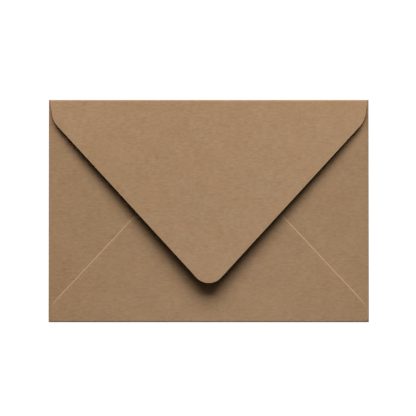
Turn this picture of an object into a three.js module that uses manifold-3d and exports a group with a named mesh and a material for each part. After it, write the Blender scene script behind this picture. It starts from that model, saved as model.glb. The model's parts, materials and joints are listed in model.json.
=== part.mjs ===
// Kraft envelope with a deep pointed closing flap, lying on its address side and seen from its back.
// Millimetres. X runs along the width, Y from the bottom fold to the top fold, Z up from the table.
// The origin is the middle of the footprint, on the table. The sheet is divided at its four score
// lines into five panels and the four rolled folds that join them. The closing flap stands a little ajar.

import * as THREE from 'three';
import { mergeVertices } from 'three/addons/utils/BufferGeometryUtils.js';
import Module from 'manifold-3d';

const wasm = await Module();
wasm.setup();

// Overall sizes
const width = 165; // outside the side folds
const height = 114.6; // top fold to bottom fold
const paper = 0.2; // thickness of the sheet
const pocketGap = 1; // clear space inside the empty pocket

// Front panel: its corners stay full beside the narrower top and bottom flaps
const earWidth = 0.1; // from the bend of a side fold to the notch beside it
const notchGap = 0.08; // between that notch and the flap that passes through it

// Side flaps
const sideFlapInset = 1.5; // root ends, in from the top and bottom folds
const sideFlapReach = 73.8; // from the bend of the side fold to the sharp corner of the tip
const sideTipRadius = 12;

// Bottom flap, whose slanted edges are the two seams seen on the back
const bottomShoulder = 9.3; // shoulder corner, up from the bottom fold
const bottomShoulderInset = 0.85; // that corner, in from the flap's end at the fold
const bottomShoulderRadius = 10;
const bottomFlapHeight = 67.3; // bottom fold to the flap's blunt end, under the closing flap
const bottomFlapEnd = 53; // width of that end, between its sharp corners
const bottomEndRadius = 12;

// Seam glue
const glueFilm = 0.05;
const glueWidth = 6;
const glueMargin = 1.5; // kept clear of every paper edge

// Top flap
const topShoulder = 11.3; // shoulder corner, down from the top fold
const topShoulderInset = 1.43; // that corner, in from the flap's end at the fold
const topShoulderRadius = 13;
const flapDepth = 94.54; // top fold to the round tip, along the flap
const flapTipRadius = 8.45;
const flapAjar = THREE.MathUtils.degToRad(5); // how far the flap stands up from the shut position
const closedGap = 0.3; // left under the gum when the flap is pressed shut
const creaseGap = 0.15; // between the flap's root and the rolled fold

// Gum along the inside of the top flap
const gumFilm = 0.05;
const gumGap = 0.02; // running clearance between the film and the paper
const gumWidth = 10;
const gumMargin = 2.5; // in from the flap's slanted edges
const gumStart = 3.6; // below the shoulder corners

// Facets: each rounded corner and each rolled fold gets twice this many
const cornerSteps = 10;
const rollSteps = 8;
const sideUse = 0.98; // share of a side that the roundings at its ends may take up

// Heights of the layers above the table
const sideFlapBase = paper + pocketGap;
const sideFlapTop = sideFlapBase + paper;
const bottomFlapBase = sideFlapTop + glueFilm;
const bottomFlapTop = bottomFlapBase + paper;
const shutFlapBase = bottomFlapTop + closedGap + gumFilm + gumGap;
const shutFlapTop = shutFlapBase + paper;

// Each fold is a half-round roll that spans from the table to the outer face of its flap
const sideRoll = sideFlapTop / 2;
const bottomRoll = bottomFlapTop / 2;
const topRoll = shutFlapTop / 2;

// Lines where the flat panels end and the rolls begin
const sideBend = width / 2 - sideRoll;
const bottomBend = -height / 2 + bottomRoll;
const topBend = height / 2 - topRoll;
const notchX = sideBend - earWidth;
const flapRoot = notchX - notchGap; // half-width of the top and bottom flaps where they leave their folds

// Outlines are lists of corners in anticlockwise order, each { x, y, r } with r the radius it is rounded to.
// A bend holds a corner's point, the directions and lengths of its two sides, half the angle between them,
// how far its rounding reaches along each side, and the direction that halves the angle.
function bendsOf(corners) {
  return corners.map((corner, index) => {
    const before = corners[(index + corners.length - 1) % corners.length];
    const after = corners[(index + 1) % corners.length];
    const point = new THREE.Vector2(corner.x, corner.y);
    const back = new THREE.Vector2(before.x, before.y).sub(point);
    const ahead = new THREE.Vector2(after.x, after.y).sub(point);
    const sides = [back.length(), ahead.length()];
    back.normalize();
    ahead.normalize();
    const halfAngle = Math.acos(back.dot(ahead)) / 2;
    const reach = (corner.r || 0) / Math.tan(halfAngle);
    return { point, back, ahead, sides, halfAngle, reach, inward: back.clone().add(ahead).normalize() };
  });
}

// The rounded outline. Two roundings share a side that is too short for both of them.
function roundedShape(corners) {
  const shape = new THREE.Shape();
  const bends = bendsOf(corners);
  bends.forEach(({ point, back, ahead, sides, halfAngle, reach: wanted, inward }, index) => {
    const neighbours = [bends[(index + bends.length - 1) % bends.length], bends[(index + 1) % bends.length]];
    const shares = neighbours.map((bend, side) => (sideUse * sides[side]) / (wanted + bend.reach));
    if (wanted > 0) {
      const reach = wanted * Math.min(1, ...shares);
      const radius = reach * Math.tan(halfAngle);
      const centre = point.clone().addScaledVector(inward, radius / Math.sin(halfAngle));
      const start = point.clone().addScaledVector(back, reach).sub(centre).angle();
      const end = point.clone().addScaledVector(ahead, reach).sub(centre).angle();
      shape.absarc(centre.x, centre.y, radius, start, end, ahead.cross(back) < 0);
    } else if (index === 0) {
      shape.moveTo(point.x, point.y);
    } else {
      shape.lineTo(point.x, point.y);
    }
  });
  shape.closePath();
  return shape;
}

// The corners of a convex outline moved in by a margin, with their radii reduced to match
function insetCorners(corners, margin) {
  return bendsOf(corners).map(({ point, halfAngle, inward }, index) => {
    point.addScaledVector(inward, margin / Math.sin(halfAngle));
    return { x: point.x, y: point.y, r: Math.max((corners[index].r || 0) - margin, 0) };
  });
}

// A flat sheet with the outline of the corners, between two heights
function plate(corners, base, top) {
  const options = { depth: top - base, bevelEnabled: false, curveSegments: cornerSteps };
  return new THREE.ExtrudeGeometry(roundedShape(corners), options).translate(0, 0, base);
}

// A strip of paper bent round Z between two angles, its length centred on the origin
function roll(outerRadius, from, to, length) {
  const section = new THREE.Shape();
  section.absarc(0, 0, outerRadius, from, to, false);
  section.absarc(0, 0, outerRadius - paper, to, from, true);
  section.closePath();
  const options = { depth: length, bevelEnabled: false, curveSegments: rollSteps };
  return new THREE.ExtrudeGeometry(section, options).translate(0, 0, -length / 2);
}

// A closed geometry as a solid that can be cut, and such a solid as a geometry again
function toSolid(geometry) {
  const bare = geometry.clone();
  bare.deleteAttribute('normal');
  bare.deleteAttribute('uv');
  const merged = mergeVertices(bare);
  const vertProperties = new Float32Array(merged.attributes.position.array);
  const triVerts = new Uint32Array(merged.index.array);
  return new wasm.Manifold(new wasm.Mesh({ numProp: 3, vertProperties, triVerts }));
}

function toGeometry(solid) {
  const { vertProperties, triVerts } = solid.getMesh();
  const geometry = new THREE.BufferGeometry();
  geometry.setAttribute('position', new THREE.BufferAttribute(vertProperties, 3));
  geometry.setIndex(new THREE.BufferAttribute(triVerts, 1));
  geometry.computeVertexNormals();
  return geometry;
}

// Finishes
const kraft = () => new THREE.MeshStandardMaterial({ color: '#a38363', roughness: 0.9, metalness: 0 });
const driedGlue = () => new THREE.MeshStandardMaterial({ color: '#cdbfa6', roughness: 0.5, metalness: 0 });
const driedGum = () => new THREE.MeshStandardMaterial({ color: '#a8865c', roughness: 0.3, metalness: 0 });

function piece(name, geometry, material) {
  const mesh = new THREE.Mesh(geometry, material);
  mesh.name = name;
  return mesh;
}

// The address side: a plain panel, cut back where the top and bottom folds start
function frontPanel() {
  const corners = [
    { x: -sideBend, y: -height / 2 },
    { x: -notchX, y: -height / 2 },
    { x: -notchX, y: bottomBend },
    { x: notchX, y: bottomBend },
    { x: notchX, y: -height / 2 },
    { x: sideBend, y: -height / 2 },
    { x: sideBend, y: height / 2 },
    { x: notchX, y: height / 2 },
    { x: notchX, y: topBend },
    { x: -notchX, y: topBend },
    { x: -notchX, y: height / 2 },
    { x: -sideBend, y: height / 2 },
  ];
  return piece('front_panel', plate(corners, 0, paper), kraft());
}

// A side flap reaches in to a round point behind the other flaps. Side is -1 on the left and 1 on the right.
function sideFlapCorners(side) {
  const rootHalf = height / 2 - sideFlapInset;
  return [
    { x: side * (sideBend - sideFlapReach), y: 0, r: sideTipRadius },
    { x: side * sideBend, y: -side * rootHalf },
    { x: side * sideBend, y: side * rootHalf },
  ];
}

function sideFlap(name, side) {
  return piece(name, plate(sideFlapCorners(side), sideFlapBase, sideFlapTop), kraft());
}

// The bottom flap is folded up over the side flaps
const shoulderLevel = -height / 2 + bottomShoulder;
const bottomShoulderHalf = flapRoot - bottomShoulderInset;
const bottomEndLevel = -height / 2 + bottomFlapHeight;

function bottomFlapCorners() {
  return [
    { x: -flapRoot, y: bottomBend },
    { x: flapRoot, y: bottomBend },
    { x: bottomShoulderHalf, y: shoulderLevel, r: bottomShoulderRadius },
    { x: bottomFlapEnd / 2, y: bottomEndLevel, r: bottomEndRadius },
    { x: -bottomFlapEnd / 2, y: bottomEndLevel, r: bottomEndRadius },
    { x: -bottomShoulderHalf, y: shoulderLevel, r: bottomShoulderRadius },
  ];
}

function bottomFlap() {
  return piece('bottom_flap', plate(bottomFlapCorners(), bottomFlapBase, bottomFlapTop), kraft());
}

// A strip of glue along one seam, kept inside both of the flaps that it joins
function seamGlue(name, side) {
  const shoulder = new THREE.Vector2(bottomShoulderHalf, shoulderLevel);
  const end = new THREE.Vector2(bottomFlapEnd / 2, bottomEndLevel);
  const along = end.clone().sub(shoulder).normalize();
  const inward = new THREE.Vector2(-along.y, along.x);
  const outerEdge = [shoulder, end].map((point) => point.clone().addScaledVector(inward, glueMargin));
  const innerEdge = outerEdge.map((point) => point.clone().addScaledVector(inward, glueWidth));
  const corners = [outerEdge[0], outerEdge[1], innerEdge[1], innerEdge[0]];
  const onThisSide = corners.map(({ x, y }) => ({ x: side * x, y }));
  if (side < 0) onThisSide.reverse();
  const cutters = [sideFlapCorners(side), bottomFlapCorners()].map((flap) =>
    toSolid(plate(insetCorners(flap, glueMargin), 0, shutFlapTop)),
  );
  const strip = toSolid(plate(onThisSide, sideFlapTop, bottomFlapBase));
  return piece(name, toGeometry(strip.intersect(cutters[0]).intersect(cutters[1])), driedGlue());
}

// Rolled folds. The angles are in the roll's own section, from its outward horizontal.
const quarter = Math.PI / 2;

function sideFold(name, side) {
  const middle = side > 0 ? 0 : Math.PI;
  const mesh = piece(name, roll(sideRoll, middle - quarter, middle + quarter, height), kraft());
  mesh.rotation.x = quarter;
  mesh.position.set(side * sideBend, 0, sideRoll);
  return mesh;
}

function bottomFold() {
  const mesh = piece('bottom_fold', roll(bottomRoll, quarter, 3 * quarter, 2 * flapRoot), kraft());
  mesh.rotation.set(quarter, quarter, 0);
  mesh.position.set(0, bottomBend, bottomRoll);
  return mesh;
}

function topFold() {
  const mesh = piece('top_fold', roll(topRoll, -quarter, quarter - flapAjar, 2 * flapRoot), kraft());
  mesh.rotation.set(quarter, quarter, 0);
  mesh.position.set(0, topBend, topRoll);
  return mesh;
}

// The closing flap, in the frame of the fold that it turns on: its root is at y = 0 and its tip at -y.
// The sharp corner that the tip is rounded from lies where the tangents from the shoulders meet.
const topShoulderHalf = flapRoot - topShoulderInset;
const shoulderDrop = topShoulder - topRoll;
const tipCentre = flapDepth - topRoll - flapTipRadius;
const shoulderToTip = new THREE.Vector2(topShoulderHalf, tipCentre - shoulderDrop);
const shoulderBearing = Math.atan2(shoulderToTip.x, shoulderToTip.y); // as seen from the tip's centre
const tipHalfAngle = shoulderBearing - Math.asin(flapTipRadius / shoulderToTip.length());
const sharpTip = shoulderDrop + topShoulderHalf / Math.tan(tipHalfAngle);

function topFlap() {
  const corners = [
    { x: -flapRoot, y: -creaseGap },
    { x: -topShoulderHalf, y: -shoulderDrop, r: topShoulderRadius },
    { x: 0, y: -sharpTip, r: flapTipRadius },
    { x: topShoulderHalf, y: -shoulderDrop, r: topShoulderRadius },
    { x: flapRoot, y: -creaseGap },
  ];
  return piece('top_flap', plate(corners, topRoll - paper, topRoll), kraft());
}

// A V of gum, parallel to the flap's slanted edges
function sealGum() {
  const ends = shoulderDrop + gumStart;
  const outerTip = sharpTip - gumMargin / Math.sin(tipHalfAngle);
  const innerTip = outerTip - gumWidth / Math.sin(tipHalfAngle);
  const outerEnd = (outerTip - ends) * Math.tan(tipHalfAngle);
  const innerEnd = (innerTip - ends) * Math.tan(tipHalfAngle);
  const corners = [
    { x: -outerEnd, y: -ends },
    { x: 0, y: -outerTip, r: Math.max(flapTipRadius - gumMargin, 0) },
    { x: outerEnd, y: -ends },
    { x: innerEnd, y: -ends },
    { x: 0, y: -innerTip },
    { x: -innerEnd, y: -ends },
  ];
  const filmTop = topRoll - paper - gumGap;
  return piece('seal_gum', plate(corners, filmTop - gumFilm, filmTop), driedGum());
}

const flap = new THREE.Group();
flap.add(topFlap(), sealGum());
flap.position.set(0, topBend, topRoll);
flap.rotation.x = -flapAjar;

const envelope = new THREE.Group();
envelope.add(
  frontPanel(),
  sideFlap('left_side_flap', -1),
  sideFlap('right_side_flap', 1),
  bottomFlap(),
  seamGlue('left_seam_glue', -1),
  seamGlue('right_seam_glue', 1),
  sideFold('left_fold', -1),
  sideFold('right_fold', 1),
  bottomFold(),
  topFold(),
  flap,
);

export default envelope;
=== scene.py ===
import bmesh
import bpy
import json
import math
from mathutils import Matrix, Vector


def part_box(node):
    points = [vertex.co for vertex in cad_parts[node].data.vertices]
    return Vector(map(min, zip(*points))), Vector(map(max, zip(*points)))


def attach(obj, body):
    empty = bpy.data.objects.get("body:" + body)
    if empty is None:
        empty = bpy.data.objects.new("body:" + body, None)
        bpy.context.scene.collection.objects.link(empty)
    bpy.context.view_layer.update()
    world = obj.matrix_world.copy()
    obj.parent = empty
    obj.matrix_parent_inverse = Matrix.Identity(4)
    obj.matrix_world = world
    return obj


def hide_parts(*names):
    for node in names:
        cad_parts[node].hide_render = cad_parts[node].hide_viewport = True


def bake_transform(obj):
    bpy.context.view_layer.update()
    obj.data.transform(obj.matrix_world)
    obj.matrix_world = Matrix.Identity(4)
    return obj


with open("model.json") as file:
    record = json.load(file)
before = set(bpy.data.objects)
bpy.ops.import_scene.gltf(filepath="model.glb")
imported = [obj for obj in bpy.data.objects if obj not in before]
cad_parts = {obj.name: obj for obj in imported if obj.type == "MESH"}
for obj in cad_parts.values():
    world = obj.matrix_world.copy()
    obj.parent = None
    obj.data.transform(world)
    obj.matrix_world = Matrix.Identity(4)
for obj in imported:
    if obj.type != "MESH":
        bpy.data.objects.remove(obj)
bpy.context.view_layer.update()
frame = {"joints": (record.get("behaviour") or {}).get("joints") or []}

mm = 0.001

# Places and sizes that come from the frame
panelLow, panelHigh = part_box("front_panel")
paper = panelHigh.z - panelLow.z
sideBend = panelHigh.x                               # where the flat panels end and the side folds start
halfHeight = panelHigh.y
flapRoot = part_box("bottom_fold")[1].x                # half-width of the top and bottom flaps at their folds
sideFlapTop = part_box("left_side_flap")[1].z
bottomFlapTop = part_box("bottom_flap")[1].z
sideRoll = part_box("left_fold")[1].z / 2              # radii of the rolled folds
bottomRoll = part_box("bottom_fold")[1].z / 2
flapJoint = frame["joints"][0]
hinge = Vector(flapJoint["pos_m"])
topRoll = hinge.z
ajar = -math.radians(flapJoint["range_deg"][0])      # how far the flap stands up from its shut position
bottomBend = -halfHeight + bottomRoll
topBend = hinge.y

scene = bpy.context.scene
scene.view_settings.view_transform = "Standard"


# Camera: nearly straight above, a little towards the bottom fold

cameraValues = {
    "distance": 700 * mm,
    "tilt": math.radians(0.87),                      # lean towards the bottom fold
    "sensor": 36,                                    # width of its film, in millimetres
    "framePixels": 416,
    "envelopePixels": 319.85,                        # width of the envelope in the picture
    "aimX": -0.38 * mm,                              # point of the envelope in the middle of the picture
    "aimY": 1.5 * mm,
}


def makeCamera(values):
    bpy.ops.object.select_all(action="DESELECT")
    bpy.ops.object.camera_add(rotation=(values["tilt"], 0, 0))
    camera = bpy.context.object
    camera.name = "overheadCamera"
    back = Vector((0, -math.sin(values["tilt"]), math.cos(values["tilt"])))
    camera.location = Vector((values["aimX"], values["aimY"], sideRoll)) + back * values["distance"]
    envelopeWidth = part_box("right_fold")[1].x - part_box("left_fold")[0].x
    frameWidth = envelopeWidth * values["framePixels"] / values["envelopePixels"]
    camera.data.sensor_width = values["sensor"]
    camera.data.lens = values["sensor"] * values["distance"] / frameWidth
    scene.camera = camera


makeCamera(cameraValues)
print("camera placed")


# Light: one large soft lamp behind the top fold, a faint one nearly overhead and a low even glow

lampValues = {
    "distance": 4.0,
    "fromVertical": math.radians(49.6),
    "towardsRight": math.radians(2.2),
    "length": 3.1,                                   # size of the lamp's face
    "breadth": 2.2,
    "watts": 232.5,
}
overheadValues = {
    "distance": 4.0,
    "fromVertical": math.radians(19),
    "towardsRight": 0.0,
    "length": 1.6,
    "breadth": 1.6,
    "watts": 7,
}
skyValues = {
    "strength": 0.045,
    "colour": (1.0, 0.88, 0.66, 1),                  # what the shadows take up, warmed by the room
    "seen": (1, 1, 1, 1),                            # what the camera and reflections see instead
}


def makeLamp(name, values):
    bpy.ops.object.select_all(action="DESELECT")
    bpy.ops.object.light_add(type="AREA")
    lamp = bpy.context.object
    lamp.name = name
    lamp.data.shape = "RECTANGLE"
    lamp.data.size = values["breadth"]
    lamp.data.size_y = values["length"]
    lamp.data.energy = values["watts"]
    level = math.sin(values["fromVertical"])
    direction = Vector((
        level * math.sin(values["towardsRight"]),
        level * math.cos(values["towardsRight"]),
        math.cos(values["fromVertical"]),
    ))
    lamp.location = direction * values["distance"]
    lamp.rotation_euler = direction.to_track_quat("Z", "X").to_euler()


def seenDirectly(nodes, links):
    # one for what the camera, a reflection or glass sees, nought for light that bounces
    path = nodes.new("ShaderNodeLightPath")
    either = nodes.new("ShaderNodeMath")
    either.operation = "MAXIMUM"
    links.new(path.outputs["Is Camera Ray"], either.inputs[0])
    links.new(path.outputs["Is Glossy Ray"], either.inputs[1])
    anyOfThree = nodes.new("ShaderNodeMath")
    anyOfThree.operation = "MAXIMUM"
    links.new(either.outputs["Value"], anyOfThree.inputs[0])
    links.new(path.outputs["Is Transmission Ray"], anyOfThree.inputs[1])
    return anyOfThree.outputs["Value"]


def makeSky(values):
    world = bpy.data.worlds.new("paleStudio")
    scene.world = world
    world.use_nodes = True
    nodes, links = world.node_tree.nodes, world.node_tree.links
    nodes.clear()
    output = nodes.new("ShaderNodeOutputWorld")
    glow = nodes.new("ShaderNodeBackground")
    glow.inputs["Color"].default_value = values["colour"]
    glow.inputs["Strength"].default_value = values["strength"]
    seen = nodes.new("ShaderNodeBackground")
    seen.inputs["Color"].default_value = values["seen"]
    seen.inputs["Strength"].default_value = 1
    mix = nodes.new("ShaderNodeMixShader")
    links.new(seenDirectly(nodes, links), mix.inputs["Fac"])
    links.new(glow.outputs["Background"], mix.inputs[1])
    links.new(seen.outputs["Background"], mix.inputs[2])
    links.new(mix.outputs["Shader"], output.inputs["Surface"])


floorValues = {
    "size": 6.0,
    "below": 0.03 * mm,                              # a hair under the panel, so the two never share a face
    "white": 0.6,
    "glow": 0.97,                                    # what the camera sees even in shadow
    "shadow": 0.08,                                  # how much of the lamp's light and shade shows on top
}


def makeFloor(values):
    bpy.ops.object.select_all(action="DESELECT")
    bpy.ops.mesh.primitive_plane_add(size=values["size"], location=(0, 0, -values["below"]))
    floor = bpy.context.object
    floor.name = "paleFloor"
    bpy.ops.object.transform_apply(location=True, rotation=True, scale=True)
    material = bpy.data.materials.new("paleFloor")
    material.use_nodes = True
    nodes, links = material.node_tree.nodes, material.node_tree.links
    nodes.clear()
    output = nodes.new("ShaderNodeOutputMaterial")
    plain = nodes.new("ShaderNodeBsdfDiffuse")
    plain.inputs["Color"].default_value = (values["white"], values["white"], values["white"], 1)
    faint = nodes.new("ShaderNodeBsdfDiffuse")
    faint.inputs["Color"].default_value = (values["shadow"], values["shadow"], values["shadow"], 1)
    glow = nodes.new("ShaderNodeEmission")
    glow.inputs["Strength"].default_value = values["glow"]
    both = nodes.new("ShaderNodeAddShader")
    mix = nodes.new("ShaderNodeMixShader")
    links.new(faint.outputs["BSDF"], both.inputs[0])
    links.new(glow.outputs["Emission"], both.inputs[1])
    links.new(seenDirectly(nodes, links), mix.inputs["Fac"])
    links.new(plain.outputs["BSDF"], mix.inputs[1])
    links.new(both.outputs["Shader"], mix.inputs[2])
    links.new(mix.outputs["Shader"], output.inputs["Surface"])
    floor.data.materials.append(material)


makeLamp("softbox", lampValues)
makeLamp("overheadLamp", overheadValues)
makeSky(skyValues)
makeFloor(floorValues)
print("light and floor placed")


# Finishes. Patterns follow the flat, unfolded sheet: each point carries its place on it in "blank".

def groupSockets(group, inputs, outputs):
    for name, kind, value in inputs:
        socket = group.interface.new_socket(name=name, in_out="INPUT", socket_type=kind)
        if value is not None:
            socket.default_value = value
    for name, kind in outputs:
        group.interface.new_socket(name=name, in_out="OUTPUT", socket_type=kind)


def noiseAt(group, vector, stretch, scale, detail, shift=0.0):
    # a noise whose features are drawn out along the sheet's grain
    nodes, links = group.nodes, group.links
    mapping = nodes.new("ShaderNodeMapping")
    mapping.inputs["Scale"].default_value = stretch
    mapping.inputs["Location"].default_value = (shift, shift, 0)
    links.new(vector, mapping.inputs["Vector"])
    noise = nodes.new("ShaderNodeTexNoise")
    noise.inputs["Scale"].default_value = scale
    noise.inputs["Detail"].default_value = detail
    links.new(mapping.outputs["Vector"], noise.inputs["Vector"])
    return noise.outputs["Fac"]


def rangeNode(group, value, low, high, toLow, toHigh):
    node = group.nodes.new("ShaderNodeMapRange")
    group.links.new(value, node.inputs["Value"])
    node.inputs["From Min"].default_value = low
    node.inputs["From Max"].default_value = high
    node.inputs["To Min"].default_value = toLow
    node.inputs["To Max"].default_value = toHigh
    return node.outputs["Result"]


def mathNode(group, operation, first, second):
    node = group.nodes.new("ShaderNodeMath")
    node.operation = operation
    for index, value in enumerate((first, second)):
        if isinstance(value, (int, float)):
            node.inputs[index].default_value = value
        else:
            group.links.new(value, node.inputs[index])
    return node.outputs["Value"]


pulpLayers = {                                       # each layer's strength is how far it moves the tone
    "Drift": {"stretch": (1, 1, 1), "scale": 9, "detail": 0, "strength": 0.25},
    "Clouds": {"stretch": (1, 1, 1), "scale": 95, "detail": 1, "strength": 0.22},
    "Mottle": {"stretch": (0.8, 1, 1), "scale": 340, "detail": 1, "strength": 0.26},
    "Grain": {"stretch": (0.42, 1, 1), "scale": 950, "detail": 1, "strength": 0.5},
    "Fuzz": {"stretch": (0.5, 1, 1), "scale": 2600, "detail": 2, "strength": 0.42},
}
warmLayer = {"stretch": (0.7, 1, 1), "scale": 75, "detail": 2}
fibreValues = {
    "pale": {"stretch": (0.22, 1, 1), "scale": 760, "shift": 0.0},
    "dark": {"stretch": (0.3, 1, 1), "scale": 620, "shift": 3.7},
    "strength": 0.17,
    "detail": 1,
    "halfWidth": 0.022,                              # in levels of the noise that a line follows
    "gapScale": 1.3,                                 # the noise that breaks the lines up, beside that one
    "gapShift": 11,
    "gapEdges": (0.5, 0.6),                          # its levels where a line starts and where it is whole
}


def fibreLines(group, vector, stretch, scale, shift):
    # thin broken curves, as single fibres lie in the sheet: where one noise passes its middle
    # and another one lets it show
    detail = fibreValues["detail"]
    field = noiseAt(group, vector, stretch, scale, detail, shift)
    off = mathNode(group, "ABSOLUTE", mathNode(group, "SUBTRACT", field, 0.5), 0)
    line = rangeNode(group, off, 0, fibreValues["halfWidth"], 1, 0)
    gapScale = scale * fibreValues["gapScale"]
    gaps = noiseAt(group, vector, stretch, gapScale, detail, shift + fibreValues["gapShift"])
    shown = rangeNode(group, gaps, *fibreValues["gapEdges"], 0, 1)
    return mathNode(group, "MULTIPLY", line, shown)


def makePulpGroup():
    # cloudy pulp and fibres drawn out along the grain: Tone runs about 0.5, Height drives the bump
    group = bpy.data.node_groups.new("pulpAndFibres", "ShaderNodeTree")
    inputs = [("Blank", "NodeSocketVector", None)]
    for name, layer in pulpLayers.items():
        inputs.append((name, "NodeSocketFloat", layer["strength"]))
    inputs.append(("Fibres", "NodeSocketFloat", fibreValues["strength"]))
    outputs = [(name, "NodeSocketFloat") for name in ("Tone", "Warmth", "Height")]
    groupSockets(group, inputs, outputs)
    inside = group.nodes.new("NodeGroupInput")
    outside = group.nodes.new("NodeGroupOutput")
    blank = inside.outputs["Blank"]
    pale = fibreLines(group, blank, **fibreValues["pale"])
    dark = fibreLines(group, blank, **fibreValues["dark"])
    strands = mathNode(group, "SUBTRACT", pale, dark)
    tone = mathNode(group, "ADD", 0.5, mathNode(group, "MULTIPLY", strands, inside.outputs["Fibres"]))
    noises = {}
    for name, layer in pulpLayers.items():
        noises[name] = noiseAt(group, blank, layer["stretch"], layer["scale"], layer["detail"])
        centred = mathNode(group, "SUBTRACT", noises[name], 0.5)
        tone = mathNode(group, "ADD", tone, mathNode(group, "MULTIPLY", centred, inside.outputs[name]))
    warmth = noiseAt(group, blank, **warmLayer)
    fine = mathNode(group, "ADD", noises["Grain"], noises["Fuzz"])
    height = mathNode(group, "ADD", fine, pale)
    group.links.new(tone, outside.inputs["Tone"])
    group.links.new(warmth, outside.inputs["Warmth"])
    group.links.new(height, outside.inputs["Height"])
    return group


edgeValues = {
    "patches": {"stretch": (1, 1, 1), "scale": 420, "detail": 2},
    "breaks": 0.6,                                   # how far the patches thin and thicken the wear and painted highlight
}


def makeEdgeGroup():
    # cut and creased edges: the wear and painted highlight that the mesh carries, broken up along the edge
    group = bpy.data.node_groups.new("edgeWearAndHighlight", "ShaderNodeTree")
    inputs = [
        ("Blank", "NodeSocketVector", None),
        ("WearAndHighlight", "NodeSocketFloat", 0.0),
        ("Breaks", "NodeSocketFloat", edgeValues["breaks"]),
    ]
    groupSockets(group, inputs, [("Mask", "NodeSocketFloat")])
    inside = group.nodes.new("NodeGroupInput")
    outside = group.nodes.new("NodeGroupOutput")
    patchy = noiseAt(group, inside.outputs["Blank"], **edgeValues["patches"])
    centred = mathNode(group, "SUBTRACT", patchy, 0.5)
    breaks = mathNode(group, "MULTIPLY", centred, inside.outputs["Breaks"])
    share = mathNode(group, "ADD", breaks, 1.0)
    mask = mathNode(group, "MULTIPLY", share, inside.outputs["WearAndHighlight"])
    group.links.new(mask, outside.inputs["Mask"])
    return group


def addAttribute(material, name):
    node = material.node_tree.nodes.new("ShaderNodeAttribute")
    node.attribute_name = name
    return node


def placeGroup(material, group):
    node = material.node_tree.nodes.new("ShaderNodeGroup")
    node.node_tree = group
    return node


def mixColours(material, share, first, second):
    # a Mix node's sockets for colours are inputs 6 and 7 and output 2, after those for numbers and vectors
    node = material.node_tree.nodes.new("ShaderNodeMix")
    node.data_type = "RGBA"
    for socket, value in ((node.inputs[0], share), (node.inputs[6], first), (node.inputs[7], second)):
        if isinstance(value, (int, float, tuple)):
            socket.default_value = value
        else:
            material.node_tree.links.new(value, socket)
    return node.outputs[2]


def addBump(material, height, strength, distance):
    tree = material.node_tree
    bump = tree.nodes.new("ShaderNodeBump")
    bump.inputs["Strength"].default_value = strength
    bump.inputs["Distance"].default_value = distance
    tree.links.new(height, bump.inputs["Height"])
    tree.links.new(bump.outputs["Normal"], tree.nodes["Principled BSDF"].inputs["Normal"])


def fromScreen(red, green, blue):
    # a colour as the screen shows it, from 0 to 255, as the linear values that a material takes
    def linear(level):
        share = level / 255
        return share / 12.92 if share <= 0.04045 else ((share + 0.055) / 1.055) ** 2.4
    return (linear(red), linear(green), linear(blue), 1)


kraftValues = {
    "dark": fromScreen(140, 106, 73),
    "light": fromScreen(178, 150, 120),
    "warm": fromScreen(168, 130, 97),
    "warmShare": 0.25,
    "warmRange": (0.4, 0.7),                         # where on its noise the warmth starts and is full
    "bareAndLit": fromScreen(214, 182, 146),              # bare fibres on cut edges, with a painted highlight where a cut edge catches the lamp
    "roughness": 0.92,
    "specular": 0.02,
    "bump": 0.12,
    "bumpHeight": 0.03 * mm,
}


def makeKraft(values, pulp, edges):
    material = bpy.data.materials.new("kraftPaper")
    material.use_nodes = True
    tree = material.node_tree
    shader = tree.nodes["Principled BSDF"]
    blank = addAttribute(material, "blank")
    wearAndHighlight = addAttribute(material, "wearAndHighlight")
    paintedShading = addAttribute(material, "paintedShading")
    fibres = placeGroup(material, pulp)
    wornAndLit = placeGroup(material, edges)
    tree.links.new(blank.outputs["Vector"], fibres.inputs["Blank"])
    tree.links.new(blank.outputs["Vector"], wornAndLit.inputs["Blank"])
    tree.links.new(wearAndHighlight.outputs["Fac"], wornAndLit.inputs["WearAndHighlight"])
    # painted light and shade, carried in the mesh, lighten and darken the pulp's tone
    tone = mathNode(tree, "SUBTRACT", fibres.outputs["Tone"], paintedShading.outputs["Fac"])
    base = mixColours(material, tone, values["dark"], values["light"])
    warmShare = rangeNode(tree, fibres.outputs["Warmth"], *values["warmRange"], 0, values["warmShare"])
    warmer = mixColours(material, warmShare, base, values["warm"])
    # bare fibres and a painted highlight along the cut edges
    colour = mixColours(material, wornAndLit.outputs["Mask"], warmer, values["bareAndLit"])
    tree.links.new(colour, shader.inputs["Base Color"])
    shader.inputs["Roughness"].default_value = values["roughness"]
    shader.inputs["Specular IOR Level"].default_value = values["specular"]
    addBump(material, fibres.outputs["Height"], values["bump"], values["bumpHeight"])
    return material


filmPools = {"Clouds": 1.0, "Mottle": 0.9, "Grain": 0.3, "Fuzz": 0.1, "Fibres": 0.0}
glueFilmValues = {
    "dark": fromScreen(176, 152, 118),
    "light": fromScreen(206, 184, 150),
    "roughness": 0.45,
    "bump": 0.3,
    "bumpHeight": 0.05 * mm,
}
gumFilmValues = {
    "dark": fromScreen(150, 116, 80),
    "light": fromScreen(180, 146, 106),
    "roughness": 0.28,
    "bump": 0.3,
    "bumpHeight": 0.08 * mm,
}


def makeFilm(name, values, pulp):
    # dried glue or gum: a thin film with pools and ripples
    material = bpy.data.materials.new(name)
    material.use_nodes = True
    tree = material.node_tree
    shader = tree.nodes["Principled BSDF"]
    blank = addAttribute(material, "blank")
    pools = placeGroup(material, pulp)
    for socket, strength in filmPools.items():
        pools.inputs[socket].default_value = strength
    tree.links.new(blank.outputs["Vector"], pools.inputs["Blank"])
    colour = mixColours(material, pools.outputs["Tone"], values["dark"], values["light"])
    tree.links.new(colour, shader.inputs["Base Color"])
    shader.inputs["Roughness"].default_value = values["roughness"]
    addBump(material, pools.outputs["Warmth"], values["bump"], values["bumpHeight"])
    return material


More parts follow.
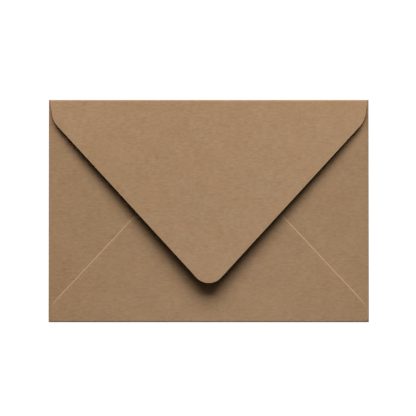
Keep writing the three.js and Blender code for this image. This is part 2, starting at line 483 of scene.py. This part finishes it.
pulpGroup = makePulpGroup()
edgeGroup = makeEdgeGroup()
kraft = makeKraft(kraftValues, pulpGroup, edgeGroup)
glueFinish = makeFilm("driedGlue", glueFilmValues, pulpGroup)
gumFinish = makeFilm("flapGum", gumFilmValues, pulpGroup)
print("finishes made")


# Flat sheets: an outline is a list of corners (x, y, radius), anticlockwise and convex

sheetValues = {
    "cell": 3 * mm,                                  # mesh size over the flat
    "roundingSteps": 24,                             # short cuts round each corner
    "rings": (0.12 * mm, 0.14 * mm, 0.2 * mm),       # widths of the rings of faces along a cut edge
    "pressed": 0.46 * mm,                            # how far in the die has pressed the edge down
    "crush": 0.02 * mm,                              # rounding of the cut edge itself
    "crushSteps": 2,
    "smoothAngle": math.radians(30),                 # bends sharper than this show as edges
    "patternDepth": 5 * mm,                          # how far the pattern changes through the paper
}
mergeDistance = 1e-8                                 # a cut this near to a point runs through it
nearEnough = 0.01 * mm                               # an edge this near to a bend lies on it
sameDirection = 1e-6                                 # for directions that differ by rounding alone


def outlinePlanes(corners, steps):
    # every straight side and every tangent round a corner, as (point, outward direction, side number)
    planes = []
    count = len(corners)
    for index, (x, y, radius) in enumerate(corners):
        point = Vector((x, y, 0))
        ahead = Vector((*corners[(index + 1) % count][:2], 0)) - point
        behind = point - Vector((*corners[index - 1][:2], 0))
        outAhead = Vector((ahead.y, -ahead.x, 0)).normalized()
        outBehind = Vector((behind.y, -behind.x, 0)).normalized()
        planes.append((point, outAhead, index))
        if radius:
            turn = outBehind.angle(outAhead)
            middle = (outBehind + outAhead).normalized()
            centre = point - middle * radius / math.cos(turn / 2)
            for step in range(1, steps):
                outward = Matrix.Rotation(turn * step / steps, 3, "Z") @ outBehind
                planes.append((centre + outward * radius, outward, index))
    return planes


def insetPlanes(planes, margin):
    return [(point - outward * margin, outward, side) for point, outward, side in planes]


def startPlane(name, corners, level):
    # a rectangle that holds the whole outline, open in edit mode
    xs = [corner[0] for corner in corners]
    ys = [corner[1] for corner in corners]
    bpy.ops.object.select_all(action="DESELECT")
    middle = ((min(xs) + max(xs)) / 2, (min(ys) + max(ys)) / 2, level)
    bpy.ops.mesh.primitive_plane_add(size=1, location=middle)
    piece = bpy.context.object
    piece.name = name
    piece.data.name = name
    bpy.ops.object.mode_set(mode="EDIT")
    bpy.ops.transform.resize(value=(max(xs) - min(xs), max(ys) - min(ys), 1))
    bpy.ops.object.mode_set(mode="OBJECT")
    bpy.ops.object.transform_apply(location=True, rotation=True, scale=True)
    bpy.ops.object.mode_set(mode="EDIT")
    return piece


def cutAlong(point, outward, clear):
    bpy.ops.mesh.select_all(action="SELECT")
    bpy.ops.mesh.bisect(plane_co=point, plane_no=outward, clear_outer=clear, threshold=mergeDistance)


def addRings(widths):
    bpy.ops.mesh.select_all(action="SELECT")
    for width in widths:
        bpy.ops.mesh.inset(thickness=width, depth=0, use_boundary=True)


def addCells(corners, cell):
    # straight cuts both ways, so that the sheet can carry slow waves
    for axis, direction in ((0, Vector((1, 0, 0))), (1, Vector((0, 1, 0)))):
        low = min(corner[axis] for corner in corners)
        high = max(corner[axis] for corner in corners)
        count = max(1, round((high - low) / cell))
        for step in range(1, count):
            cutAlong(direction * (low + (high - low) * step / count), direction, False)


def cutSheet(name, corners, planes, level, values):
    piece = startPlane(name, corners, level)
    for point, outward, side in planes:
        cutAlong(point, outward, True)
    addRings(values["rings"])
    addCells(corners, values["cell"])
    bpy.ops.object.mode_set(mode="OBJECT")
    return piece


def selectAlone(piece):
    bpy.ops.object.select_all(action="DESELECT")
    bpy.context.view_layer.objects.active = piece
    piece.select_set(True)


def giveThickness(piece, thickness):
    solid = piece.modifiers.new("thickness", "SOLIDIFY")
    solid.thickness = thickness
    solid.offset = -1
    solid.use_even_offset = True
    selectAlone(piece)
    bpy.ops.object.modifier_apply(modifier=solid.name)


def crushEdges(piece, planes, bend, width):
    # rounds the rim along the cut sides only, and leaves it square where the sheet runs on into a fold
    bends = [(point, outward) for point, outward, side in planes if side == bend]
    bpy.ops.object.mode_set(mode="EDIT")
    bpy.ops.mesh.select_mode(type="EDGE")
    bpy.ops.mesh.select_all(action="DESELECT")
    mesh = bmesh.from_edit_mesh(piece.data)
    for edge in mesh.edges:
        upright = [face for face in edge.link_faces if abs(face.normal.z) < 0.5]
        ends = [vertex.co for vertex in edge.verts]
        alongRim = len(upright) == 1 and abs(ends[0].z - ends[1].z) < paper / 2
        middle = (ends[0] + ends[1]) / 2
        atBend = any(abs((middle - point).dot(outward)) < nearEnough for point, outward in bends)
        edge.select = alongRim and not atBend
    bmesh.update_edit_mesh(piece.data)
    bpy.ops.mesh.bevel(offset=width, segments=sheetValues["crushSteps"], affect="EDGES")
    bpy.ops.object.mode_set(mode="OBJECT")


def depthInside(planes, bend, place):
    # how far a point lies in from the nearest cut side
    flat = Vector((place.x, place.y, 0))
    return min((point - flat).dot(outward) for point, outward, side in planes if side != bend)


def rollEdgeOver(piece, planes, bend, level, drop, width):
    # the die presses the outer face down along a cut edge, and the inner face stays flat
    for vertex in piece.data.vertices:
        depth = depthInside(planes, bend, vertex.co)
        if vertex.co.z > level - paper / 2 and depth < width:
            vertex.co.z -= drop * (1 - max(0, depth) / width) ** 2


def makeFlatFlap(name, corners, bend, level, drop):
    # bend is the number of the side that runs on into a fold
    planes = outlinePlanes(corners, sheetValues["roundingSteps"])
    piece = cutSheet(name, corners, planes, level, sheetValues)
    giveThickness(piece, paper)
    rollEdgeOver(piece, planes, bend, level, drop, sheetValues["pressed"])
    crushEdges(piece, planes, bend, sheetValues["crush"])
    return piece, planes


def edgeWearAndHighlight(planes, bend, values, place):
    # wear and painted highlight, full at a cut side and gone a set width in
    return values["wearAndHighlight"] * max(0, 1 - depthInside(planes, bend, place) / values["wearAndHighlightWidth"])


# Painted shade and light across the sheet

paintedFalloffValues = {
    "rightward": 0.04,                               # painted light: how much lighter the right edge is than the middle
    # each patch of painted shade: its middle and half-sizes, in half-widths and half-heights of the panel,
    # and its depth
    "patches": [
        (-0.93, -0.7, 0.25, 0.33, 0.1),
        (0.93, -0.7, 0.25, 0.33, 0.09),
        (-0.95, 0.45, 0.25, 0.35, 0.045),
    ],
}


def paintedFalloffAt(place):
    # painted shade: darkest in the lower corners and a little darker on the left, with painted light towards
    # the right
    across = place.x / sideBend
    up = place.y / halfHeight
    paintedShading = -paintedFalloffValues["rightward"] * across
    for x, y, halfWidth, halfLength, depth in paintedFalloffValues["patches"]:
        paintedShading += depth * math.exp(-(((across - x) / halfWidth) ** 2) - ((up - y) / halfLength) ** 2)
    return paintedShading


# painted shade beside the flap's two top corners, where its shadow falls on the back
shoulderShadeValues = {"depth": 0.5, "level": 48.5 * mm, "halfLength": 6 * mm, "halfWidth": 2.2 * mm}


def shoulderShadeAt(place):
    # painted shade: the shadow line beside the flap's two top corners, painted onto the back
    across = max(0, sideBend - abs(place.x)) / shoulderShadeValues["halfWidth"]
    up = (place.y - shoulderShadeValues["level"]) / shoulderShadeValues["halfLength"]
    return -shoulderShadeValues["depth"] * math.exp(-across ** 2 - up ** 2)


def patternLevel(height):
    # a height within the paper, drawn out so that its two faces don't show the same pattern
    return height / paper * sheetValues["patternDepth"]


def nowhere(place):
    return 0


def setPattern(piece, blankAt, wearAndHighlightAt=nowhere, paintedLightAt=nowhere):
    # each point's place on the unfolded sheet, its wear and painted highlight, and its painted light and
    # shade
    mesh = piece.data
    mesh.attributes.new("blank", "FLOAT_VECTOR", "POINT")
    mesh.attributes.new("wearAndHighlight", "FLOAT", "POINT")
    mesh.attributes.new("paintedShading", "FLOAT", "POINT")
    blank = mesh.attributes["blank"]                 # fetched again, for adding a layer moves the others
    wearAndHighlight = mesh.attributes["wearAndHighlight"]
    paintedShading = mesh.attributes["paintedShading"]
    for index, vertex in enumerate(mesh.vertices):
        blank.data[index].vector = blankAt(vertex.co)
        wearAndHighlight.data[index].value = wearAndHighlightAt(vertex.co)
        # painted shade adds to this value and darkens; painted light takes from it and lightens
        paintedShading.data[index].value = paintedFalloffAt(vertex.co) - paintedLightAt(vertex.co)


def raisePoints(piece, riseAt):
    for vertex in piece.data.vertices:
        vertex.co.z += riseAt(vertex.co.x, vertex.co.y)


def finishPiece(piece, material, body, node):
    selectAlone(piece)
    bpy.ops.object.shade_smooth_by_angle(angle=sheetValues["smoothAngle"])
    piece.data.materials.clear()
    piece.data.materials.append(material)
    if body:
        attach(piece, body)
    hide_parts(node)
    print("made", piece.name, len(piece.data.polygons), "faces")


# The form that the stacked back layers share: slow waves, and a dip behind each side fold
# over the empty pocket

waveValues = {
    "height": 0.07 * mm,
    "lengthX": 74 * mm,
    "lengthY": 58 * mm,
    "startY": 1.3,                                   # angle of the waves in y at the middle of the sheet
    "swayX": 0.8,                                    # how far each set of waves wanders sideways, as an angle
    "swayY": 1.1,
    "swayLengthX": 90 * mm,
    "swayLengthY": 120 * mm,
    "fade": 14 * mm,                                 # they grow from nothing over this distance from a fold
    "dip": 0.6 * mm,
    "dipReach": 38 * mm,                             # from the side fold to where the dip has run out
    "dipFade": (-50 * mm, -10 * mm),                 # it grows from nothing between these levels
}
humpScale = 27 / 4                                   # brings the top of a hump to one


def smoothShare(value, low, high):
    share = max(0, min(1, (value - low) / (high - low)))
    return share * share * (3 - 2 * share)


def hump(share):
    # rises quickly to one at a third of the way and dies out slowly
    share = max(0, min(1, share))
    return humpScale * share * (1 - share) ** 2


def waveAngle(place, length):
    return 2 * math.pi * place / length


def backForm(x, y):
    grown = smoothShare(min(sideBend - abs(x), halfHeight - abs(y)), 0, waveValues["fade"])
    wanderX = waveValues["swayX"] * math.sin(waveAngle(y, waveValues["swayLengthX"]))
    wanderY = waveValues["swayY"] * math.sin(waveAngle(x, waveValues["swayLengthY"]))
    across = math.sin(waveAngle(x, waveValues["lengthX"]) + wanderX)
    along = math.sin(waveAngle(y, waveValues["lengthY"]) + waveValues["startY"] + wanderY)
    dip = hump((sideBend - abs(x)) / waveValues["dipReach"]) * smoothShare(y, *waveValues["dipFade"])
    return waveValues["height"] * grown * (across + along) / 2 - waveValues["dip"] * dip


# Front panel, which ends at the top and bottom folds and runs on beside them to its full height

frontPanelValues = {"notchGap": 0.08 * mm}           # room beside those folds


def makeFrontPanel(values):
    corners = [
        (-sideBend, -halfHeight, 0),
        (sideBend, -halfHeight, 0),
        (sideBend, halfHeight, 0),
        (-sideBend, halfHeight, 0),
    ]
    notch = flapRoot + values["notchGap"]
    piece = startPlane("frontPanel", corners, paper)
    for x in (-notch, notch):
        cutAlong(Vector((x, 0, 0)), Vector((1, 0, 0)), False)
    for y in (bottomBend, topBend):
        cutAlong(Vector((0, y, 0)), Vector((0, 1, 0)), False)
    mesh = bmesh.from_edit_mesh(piece.data)
    for face in mesh.faces:
        middle = face.calc_center_median()
        face.select = abs(middle.x) < notch and not bottomBend < middle.y < topBend
    bmesh.update_edit_mesh(piece.data)
    bpy.ops.mesh.delete(type="FACE")
    addCells(corners, sheetValues["cell"])
    bpy.ops.object.mode_set(mode="OBJECT")
    giveThickness(piece, paper)
    setPattern(piece, lambda place: (place.x, place.y, patternLevel(place.z)))
    finishPiece(piece, kraft, "pocket", "front_panel")


makeFrontPanel(frontPanelValues)


# Side flaps

sideFlapValues = {
    "inset": 1.5 * mm,
    "reach": 73.8 * mm,
    "tipRadius": 12 * mm,
    "rollOver": 0.05 * mm,                           # how far down the die has pressed the cut edge
    "wearAndHighlight": 0.4,
    "wearAndHighlightWidth": 0.45 * mm,
}


def sideFlapCorners(side, values):
    rootHalf = halfHeight - values["inset"]
    return [
        (side * (sideBend - values["reach"]), 0, values["tipRadius"]),
        (side * sideBend, -side * rootHalf, 0),
        (side * sideBend, side * rootHalf, 0),
    ]


def makeSideFlap(name, side, node, values):
    bend = 1
    corners = sideFlapCorners(side, values)
    piece, planes = makeFlatFlap(name, corners, bend, sideFlapTop, values["rollOver"])
    arc = math.pi * sideRoll

    def blankAt(place):
        out = 2 * sideBend - abs(place.x) + arc
        return (side * out, place.y, patternLevel(place.z - sideFlapTop))

    def wearAndHighlightAt(place):
        return edgeWearAndHighlight(planes, bend, values, place)

    # the painted shade beside the flap's top corners darkens the side flap there
    setPattern(piece, blankAt, wearAndHighlightAt, shoulderShadeAt)
    raisePoints(piece, backForm)
    finishPiece(piece, kraft, "pocket", node)


makeSideFlap("leftSideFlap", -1, "left_side_flap", sideFlapValues)
makeSideFlap("rightSideFlap", 1, "right_side_flap", sideFlapValues)


# Bottom flap, whose slanted edges are the seams

bottomFlapValues = {
    "shoulder": 9.3 * mm,
    "shoulderInset": 0.85 * mm,
    "shoulderRadius": 10 * mm,
    "height": 67.3 * mm,
    "end": 53 * mm,
    "endRadius": 12 * mm,
    "rollOver": 0.15 * mm,
    "wearAndHighlight": 0.68,
    "wearAndHighlightWidth": 0.42 * mm,
    "highlightFade": (-51 * mm, -44.5 * mm),              # the painted highlight on the bare edge dies out between these levels, where the edge turns sideways from the lamp
}


def bottomFlapCorners(values):
    shoulder = -halfHeight + values["shoulder"]
    end = -halfHeight + values["height"]
    half = flapRoot - values["shoulderInset"]
    return [
        (-flapRoot, bottomBend, 0),
        (flapRoot, bottomBend, 0),
        (half, shoulder, values["shoulderRadius"]),
        (values["end"] / 2, end, values["endRadius"]),
        (-values["end"] / 2, end, values["endRadius"]),
        (-half, shoulder, values["shoulderRadius"]),
    ]


def makeBottomFlap(values):
    bend = 0
    corners = bottomFlapCorners(values)
    piece, planes = makeFlatFlap("bottomFlap", corners, bend, bottomFlapTop, values["rollOver"])
    arc = math.pi * bottomRoll

    def blankAt(place):
        return (place.x, 2 * bottomBend - place.y - arc, patternLevel(place.z - bottomFlapTop))

    def wearAndHighlightAt(place):
        # painted highlight: low on the seams it fades out
        return edgeWearAndHighlight(planes, bend, values, place) * smoothShare(place.y, *values["highlightFade"])

    setPattern(piece, blankAt, wearAndHighlightAt)
    raisePoints(piece, backForm)
    finishPiece(piece, kraft, "pocket", "bottom_flap")


makeBottomFlap(bottomFlapValues)


# Seam glue, a film between the bottom flap and each side flap

glueValues = {"margin": 1.5 * mm, "width": 6 * mm}


def makeSeamGlue(name, side, node, values):
    flapCorners = bottomFlapCorners(bottomFlapValues)
    shoulder, end = [Vector((x, y, 0)) for x, y, radius in flapCorners[2:4]]
    along = (end - shoulder).normalized()
    inward = Vector((-along.y, along.x, 0))
    near = [point + inward * values["margin"] for point in (shoulder, end)]
    far = [point + inward * (values["margin"] + values["width"]) for point in (shoulder, end)]
    strip = [(side * point.x, point.y, 0) for point in (near[0], near[1], far[1], far[0])]
    if side < 0:
        strip.reverse()
    low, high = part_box(node)
    steps = sheetValues["roundingSteps"]
    piece = startPlane(name, strip, high.z)
    edges = outlinePlanes(strip, steps)
    for flap in (flapCorners, sideFlapCorners(side, sideFlapValues)):
        edges += insetPlanes(outlinePlanes(flap, steps), values["margin"])
    for point, outward, number in edges:
        cutAlong(point, outward, True)
    addCells(strip, sheetValues["cell"])
    bpy.ops.object.mode_set(mode="OBJECT")
    giveThickness(piece, high.z - low.z)
    setPattern(piece, lambda place: place)
    raisePoints(piece, backForm)
    finishPiece(piece, glueFinish, "pocket", node)


makeSeamGlue("leftSeamGlue", -1, "left_seam_glue", glueValues)
makeSeamGlue("rightSeamGlue", 1, "right_seam_glue", glueValues)


# Rolled folds: the arc of a tube along the edge, given the paper's thickness

foldValues = {
    "circlePoints": 96,                              # round the whole tube that a fold is cut from
    "cell": 3 * mm,
    "wearAndHighlight": 0.05,
    "foldShade": 0.28,                                 # painted shade: how much darker a fold is at its outermost
    "foldShadeFrom": math.radians(90),                 # angles up from the outermost line between which
    "foldShadeTo": math.radians(40),                   # that grows from nothing to the whole
}


def foldShadeAt(across, up):
    # painted shade: a fold is darker where it turns down and away from the light, but not along its top line
    angle = abs(math.atan2(up, across))
    return -foldValues["foldShade"] * smoothShare(angle, foldValues["foldShadeFrom"], foldValues["foldShadeTo"])


def foldWearAt(place):
    return foldValues["wearAndHighlight"]


def unrolled(across, up, radius):
    # how far a point lies from the start of its roll, at the table side, and how deep in the pattern
    run = (math.atan2(up, across) + math.pi / 2) * radius
    return run, patternLevel(math.hypot(up, across) - radius)


def makeRoll(name, centre, radius, along, length, cuts, values):
    # an open tube along the fold, cut down to its arc by planes through its middle line
    bpy.ops.object.select_all(action="DESELECT")
    bpy.ops.mesh.primitive_cylinder_add(
        vertices=values["circlePoints"],
        radius=radius,
        depth=length,
        end_fill_type="NOTHING",
        location=centre,
        rotation=(math.pi / 2, 0, 0) if along.y else (0, math.pi / 2, 0),
    )
    piece = bpy.context.object
    piece.name = name
    piece.data.name = name
    bpy.ops.object.transform_apply(location=True, rotation=True, scale=True)
    bpy.ops.object.mode_set(mode="EDIT")
    for outward in cuts:
        cutAlong(centre, outward, True)
    start = centre - along * length / 2
    count = round(length / values["cell"])
    for step in range(1, count):
        cutAlong(start + along * length * step / count, along, False)
    bpy.ops.object.mode_set(mode="OBJECT")
    giveThickness(piece, paper)
    return piece


def makeSideFold(name, side, node):
    centre = Vector((side * sideBend, 0, sideRoll))
    along = Vector((0, 1, 0))
    piece = makeRoll(name, centre, sideRoll, along, 2 * halfHeight, [Vector((-side, 0, 0))], foldValues)

    def blankAt(place):
        run, depth = unrolled(side * place.x - sideBend, place.z - sideRoll, sideRoll)
        return (side * (sideBend + run), place.y, depth)

    def paintedLightAt(place):
        # painted shade on the fold's outer side, and beside the flap's top corners
        return foldShadeAt(side * place.x - sideBend, place.z - sideRoll) + shoulderShadeAt(place)

    setPattern(piece, blankAt, foldWearAt, paintedLightAt)
    finishPiece(piece, kraft, "pocket", node)


makeSideFold("leftFold", -1, "left_fold")
makeSideFold("rightFold", 1, "right_fold")


def makeBottomFold():
    centre = Vector((0, bottomBend, bottomRoll))
    along = Vector((1, 0, 0))
    piece = makeRoll("bottomFold", centre, bottomRoll, along, 2 * flapRoot, [Vector((0, 1, 0))], foldValues)

    def blankAt(place):
        run, depth = unrolled(bottomBend - place.y, place.z - bottomRoll, bottomRoll)
        return (place.x, bottomBend - run, depth)

    def paintedLightAt(place):
        # painted shade on the fold's outer side
        return foldShadeAt(bottomBend - place.y, place.z - bottomRoll)

    setPattern(piece, blankAt, foldWearAt, paintedLightAt)
    finishPiece(piece, kraft, "pocket", "bottom_fold")


makeBottomFold()


# Top flap, whose arch starts where its crease lets it go

topFlapValues = {
    "shoulder": 11.3 * mm,
    "shoulderInset": 1.43 * mm,
    "shoulderRadius": 13 * mm,
    "depth": 94.54 * mm,                             # top fold to the round tip
    "tipRadius": 8.45 * mm,
    "rollOver": 0.05 * mm,
    "wearAndHighlight": 0.3,
    "wearAndHighlightWidth": 0.45 * mm,
    "paintedLight": 0.065,                              # painted light: the flap is lighter than the rest of the back, but has painted shade beside its crease and at its tip
    "creaseShade": 0.075,                              # but more beside its crease
    "tipShade": 0.02,                                  # and at its tip
    "creaseFade": 3,                                 # powers of the distance with which those two die out
    "tipFade": 6,
    "arch": 0.9 * mm,                                # how far it bows up, a third of the way to its tip
    "wave": 0.08 * mm,                               # height of the slow wave across it
    "waveLength": 95 * mm,
    "waveStart": 0.6,                                # angle of the wave at the flap's centre line
}
flapReach = topFlapValues["depth"] - topRoll
rootSlope = math.atan(humpScale * topFlapValues["arch"] / flapReach)
rootLead = topRoll * math.sin(rootSlope)             # the roll ends this far before the hinge line


# Top fold: a lower and an upper half, between the pocket and the flap

def makeTopFold(name, fromAngle, toAngle, before, after):
    # before and after are how far the bend reaches from the middle of this half, in its half-lengths
    along = Vector((1, 0, 0))

    def onward(angle):
        return Vector((0, -math.sin(angle), math.cos(angle)))

    cuts = [-onward(fromAngle), onward(toAngle)]
    piece = makeRoll(name, hinge, topRoll, along, 2 * flapRoot, cuts, foldValues)

    def blankAt(place):
        run, depth = unrolled(place.y - hinge.y, place.z - hinge.z, topRoll)
        return (place.x, topBend + run, depth)

    setPattern(piece, blankAt, foldWearAt)
    finishPiece(piece, kraft, None, "top_fold")
    middle = onward((fromAngle + toAngle) / 2)
    reach = topRoll * math.sin((toAngle - fromAngle) / 2)
    start, end = hinge - middle * before * reach, hinge + middle * after * reach
    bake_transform(piece)
    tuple(start)
    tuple(end)


foldStart, foldEnd = -math.pi / 2, math.pi / 2 - ajar - rootSlope
foldMiddle = (foldStart + foldEnd) / 2

# Each half takes half of the turn
makeTopFold("topFoldLower", foldStart, foldMiddle, 1, 3)
makeTopFold("topFoldUpper", foldMiddle, foldEnd, 3, 1)


# Top flap and its gum, made flat as if the flap were shut, then turned up about the fold

shoulderDrop = topFlapValues["shoulder"] - topRoll
shoulderHalf = flapRoot - topFlapValues["shoulderInset"]
tipCentre = flapReach - topFlapValues["tipRadius"]
shoulderToTip = math.hypot(shoulderHalf, tipCentre - shoulderDrop)
shoulderBearing = math.atan2(shoulderHalf, tipCentre - shoulderDrop)    # as seen from the tip's centre
tipHalfAngle = shoulderBearing - math.asin(topFlapValues["tipRadius"] / shoulderToTip)
sharpTip = shoulderDrop + shoulderHalf / math.tan(tipHalfAngle)


def topFlapCorners(values):
    return [
        (-flapRoot, topBend + rootLead, 0),
        (-shoulderHalf, topBend - shoulderDrop, values["shoulderRadius"]),
        (0, topBend - sharpTip, values["tipRadius"]),
        (shoulderHalf, topBend - shoulderDrop, values["shoulderRadius"]),
        (flapRoot, topBend + rootLead, 0),
    ]


def flapShare(y):
    return max(0, min(1, (topBend + rootLead - y) / (flapReach + rootLead)))


def flapRise(x, y):
    # the flap bows between its fold and its tip, with a slow wave across it
    share = flapShare(y)
    rollEnd = topRoll * (1 - math.cos(rootSlope))    # how far the roll's end lies under its top
    wave = math.sin(waveAngle(x, topFlapValues["waveLength"]) + topFlapValues["waveStart"])
    wave *= topFlapValues["wave"] * math.sin(math.pi * share)
    return hump(share) * topFlapValues["arch"] + wave - rollEnd


def turnUp(piece):
    turn = Matrix.Rotation(-ajar, 4, "X")
    piece.data.transform(Matrix.Translation(hinge) @ turn @ Matrix.Translation(-hinge))


def makeTopFlap(values):
    bend = 4
    level = hinge.z + topRoll
    piece, planes = makeFlatFlap("topFlap", topFlapCorners(values), bend, level, values["rollOver"])
    arc = (foldEnd - foldStart) * topRoll

    def blankAt(place):
        return (place.x, 2 * topBend + rootLead - place.y + arc, patternLevel(place.z - level))

    def wearAndHighlightAt(place):
        return edgeWearAndHighlight(planes, bend, values, place)

    def paintedLightAt(place):
        # painted light over the flap, less beside its crease and at its tip
        share = flapShare(place.y)
        atCrease = values["creaseShade"] * (1 - share) ** values["creaseFade"]
        return values["paintedLight"] - atCrease - values["tipShade"] * share ** values["tipFade"]

    setPattern(piece, blankAt, wearAndHighlightAt, paintedLightAt)
    raisePoints(piece, flapRise)
    turnUp(piece)
    finishPiece(piece, kraft, "flap", "top_flap")


makeTopFlap(topFlapValues)

gumValues = {
    "film": 0.05 * mm,
    "width": 10 * mm,
    "margin": 2.5 * mm,                              # in from the flap's slanted edges
    "start": 3.6 * mm,                               # below the flap's shoulders
}


def makeSealGum(values):
    # a V along the flap's two slanted edges, round at its tip
    corners = topFlapCorners(topFlapValues)
    level = hinge.z + topRoll - paper
    planes = outlinePlanes(corners, sheetValues["roundingSteps"])
    ends = topBend - shoulderDrop - values["start"]
    piece = startPlane("sealGum", corners, level)
    for point, outward, side in insetPlanes(planes, values["margin"]):
        cutAlong(point, outward, True)
    cutAlong(Vector((0, ends, 0)), Vector((0, 1, 0)), True)
    slantedSides = (1, 2)
    slant = math.cos(tipHalfAngle)
    inner = [
        (point - outward * (values["margin"] + values["width"]), outward)
        for point, outward, side in planes
        if side in slantedSides and abs(abs(outward.x) - slant) < sameDirection
    ]
    for point, outward in inner:
        cutAlong(point, outward, False)
    addCells(corners, sheetValues["cell"])
    mesh = bmesh.from_edit_mesh(piece.data)
    for face in mesh.faces:
        middle = face.calc_center_median()
        face.select = all((middle - point).dot(outward) < 0 for point, outward in inner)
    bmesh.update_edit_mesh(piece.data)
    bpy.ops.mesh.delete(type="FACE")
    bpy.ops.object.mode_set(mode="OBJECT")
    giveThickness(piece, values["film"])
    setPattern(piece, lambda place: place)
    raisePoints(piece, flapRise)
    turnUp(piece)
    finishPiece(piece, gumFinish, "flap", "seal_gum")


makeSealGum(gumValues)
